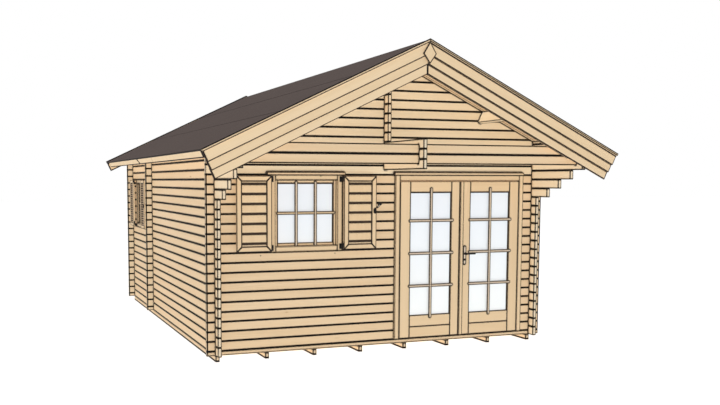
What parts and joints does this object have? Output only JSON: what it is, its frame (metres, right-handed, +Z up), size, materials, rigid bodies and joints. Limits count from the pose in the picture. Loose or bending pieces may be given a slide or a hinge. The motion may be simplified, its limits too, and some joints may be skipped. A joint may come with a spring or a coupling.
{
  "type": "log cabin",
  "caption": "Pine log cabin with interlocked log walls, a deep gable overhang on a log beam, a glazed double door, shuttered windows and a felt-covered pitched roof.",
  "frame": {"origin": "on the ground under the middle of the whole outline, roof overhangs included", "axes": "+X to the right seen from in front of the door, +Y from the front gable to the back gable, +Z up"},
  "size_m": [4.9892, 6.794, 3.5416],
  "materials": {
    "pine": "satin",
    "joinery_pine": "satin",
    "roof_felt": "matte",
    "clear_glass": "gloss",
    "black_iron": "satin",
    "steel": "satin"
  },
  "bodies": {
    "cabin": {"foundation_joists": "pine", "floor": "pine", "front_sill_log": "pine", "front_wall_left": "pine", "front_wall_right": "pine", "front_gable": "pine", "left_wall": "pine", "right_wall": "pine", "back_wall": "pine", "partition_left": "pine", "partition_right": "pine", "partition_gable": "pine", "ridge_logs": "pine", "front_beam": "pine", "purlins": "pine", "roof_deck_left": "pine", "roof_deck_right": "pine", "roof_felt": "roof_felt", "bargeboards_left": "pine", "bargeboards_right": "pine", "verge_trims": "pine", "gable_diamond": "pine", "rear_bargeboards": "pine", "eave_fascia_left": "pine", "eave_fascia_right": "pine", "front_window_frame": "joinery_pine", "front_window_glass": "clear_glass", "side_window_frame": "joinery_pine", "side_window_glass": "clear_glass", "head_trims": "joinery_pine", "door_frame": "joinery_pine", "door_hinges": "black_iron", "shutter_brackets": "black_iron", "shutter_stays": "black_iron"},
    "door_left": {"door_leaf_left": "joinery_pine", "door_glass_left": "clear_glass"},
    "door_right": {"door_leaf_right": "joinery_pine", "door_glass_right": "clear_glass", "door_lock_plates": "steel"},
    "door_handle": {"door_handle": "steel"},
    "front_shutter_left": {"front_shutter_left": "joinery_pine"},
    "front_shutter_right": {"front_shutter_right": "joinery_pine"},
    "side_shutter_front": {"side_shutter_front": "joinery_pine"},
    "side_shutter_rear": {"side_shutter_rear": "joinery_pine"}
  },
  "joints": [
    {"name": "door_left_hinge", "type": "hinge", "parent": "cabin", "child": "door_left", "pos_m": [0.1885, -2.314, 1.08], "axis": [0, 0, 1], "range_deg": [0, 95]},
    {"name": "door_right_hinge", "type": "hinge", "parent": "cabin", "child": "door_right", "pos_m": [1.8475, -2.314, 1.08], "axis": [0, 0, -1], "range_deg": [0, 95]},
    {"name": "door_handle_turn", "type": "hinge", "parent": "door_right", "child": "door_handle", "pos_m": [1.079, -2.344, 1.138], "axis": [0, 1, 0], "range_deg": [0, 45], "stiffness_Nm_per_rad": 2, "springref_deg": -17.19},
    {"name": "front_shutter_left_hinge", "type": "hinge", "parent": "cabin", "child": "front_shutter_left", "pos_m": [-1.4335, -2.404, 1.664], "axis": [0, 0, 1], "range_deg": [0, 180]},
    {"name": "front_shutter_right_hinge", "type": "hinge", "parent": "cabin", "child": "front_shutter_right", "pos_m": [-0.5745, -2.404, 1.664], "axis": [0, 0, -1], "range_deg": [0, 180]},
    {"name": "side_shutter_front_hinge", "type": "hinge", "parent": "cabin", "child": "side_shutter_front", "pos_m": [-2.151, 1.9815, 1.666], "axis": [0, 0, -1], "range_deg": [0, 180]},
    {"name": "side_shutter_rear_hinge", "type": "hinge", "parent": "cabin", "child": "side_shutter_rear", "pos_m": [-2.151, 2.6405, 1.666], "axis": [0, 0, 1], "range_deg": [0, 180]}
  ]
}
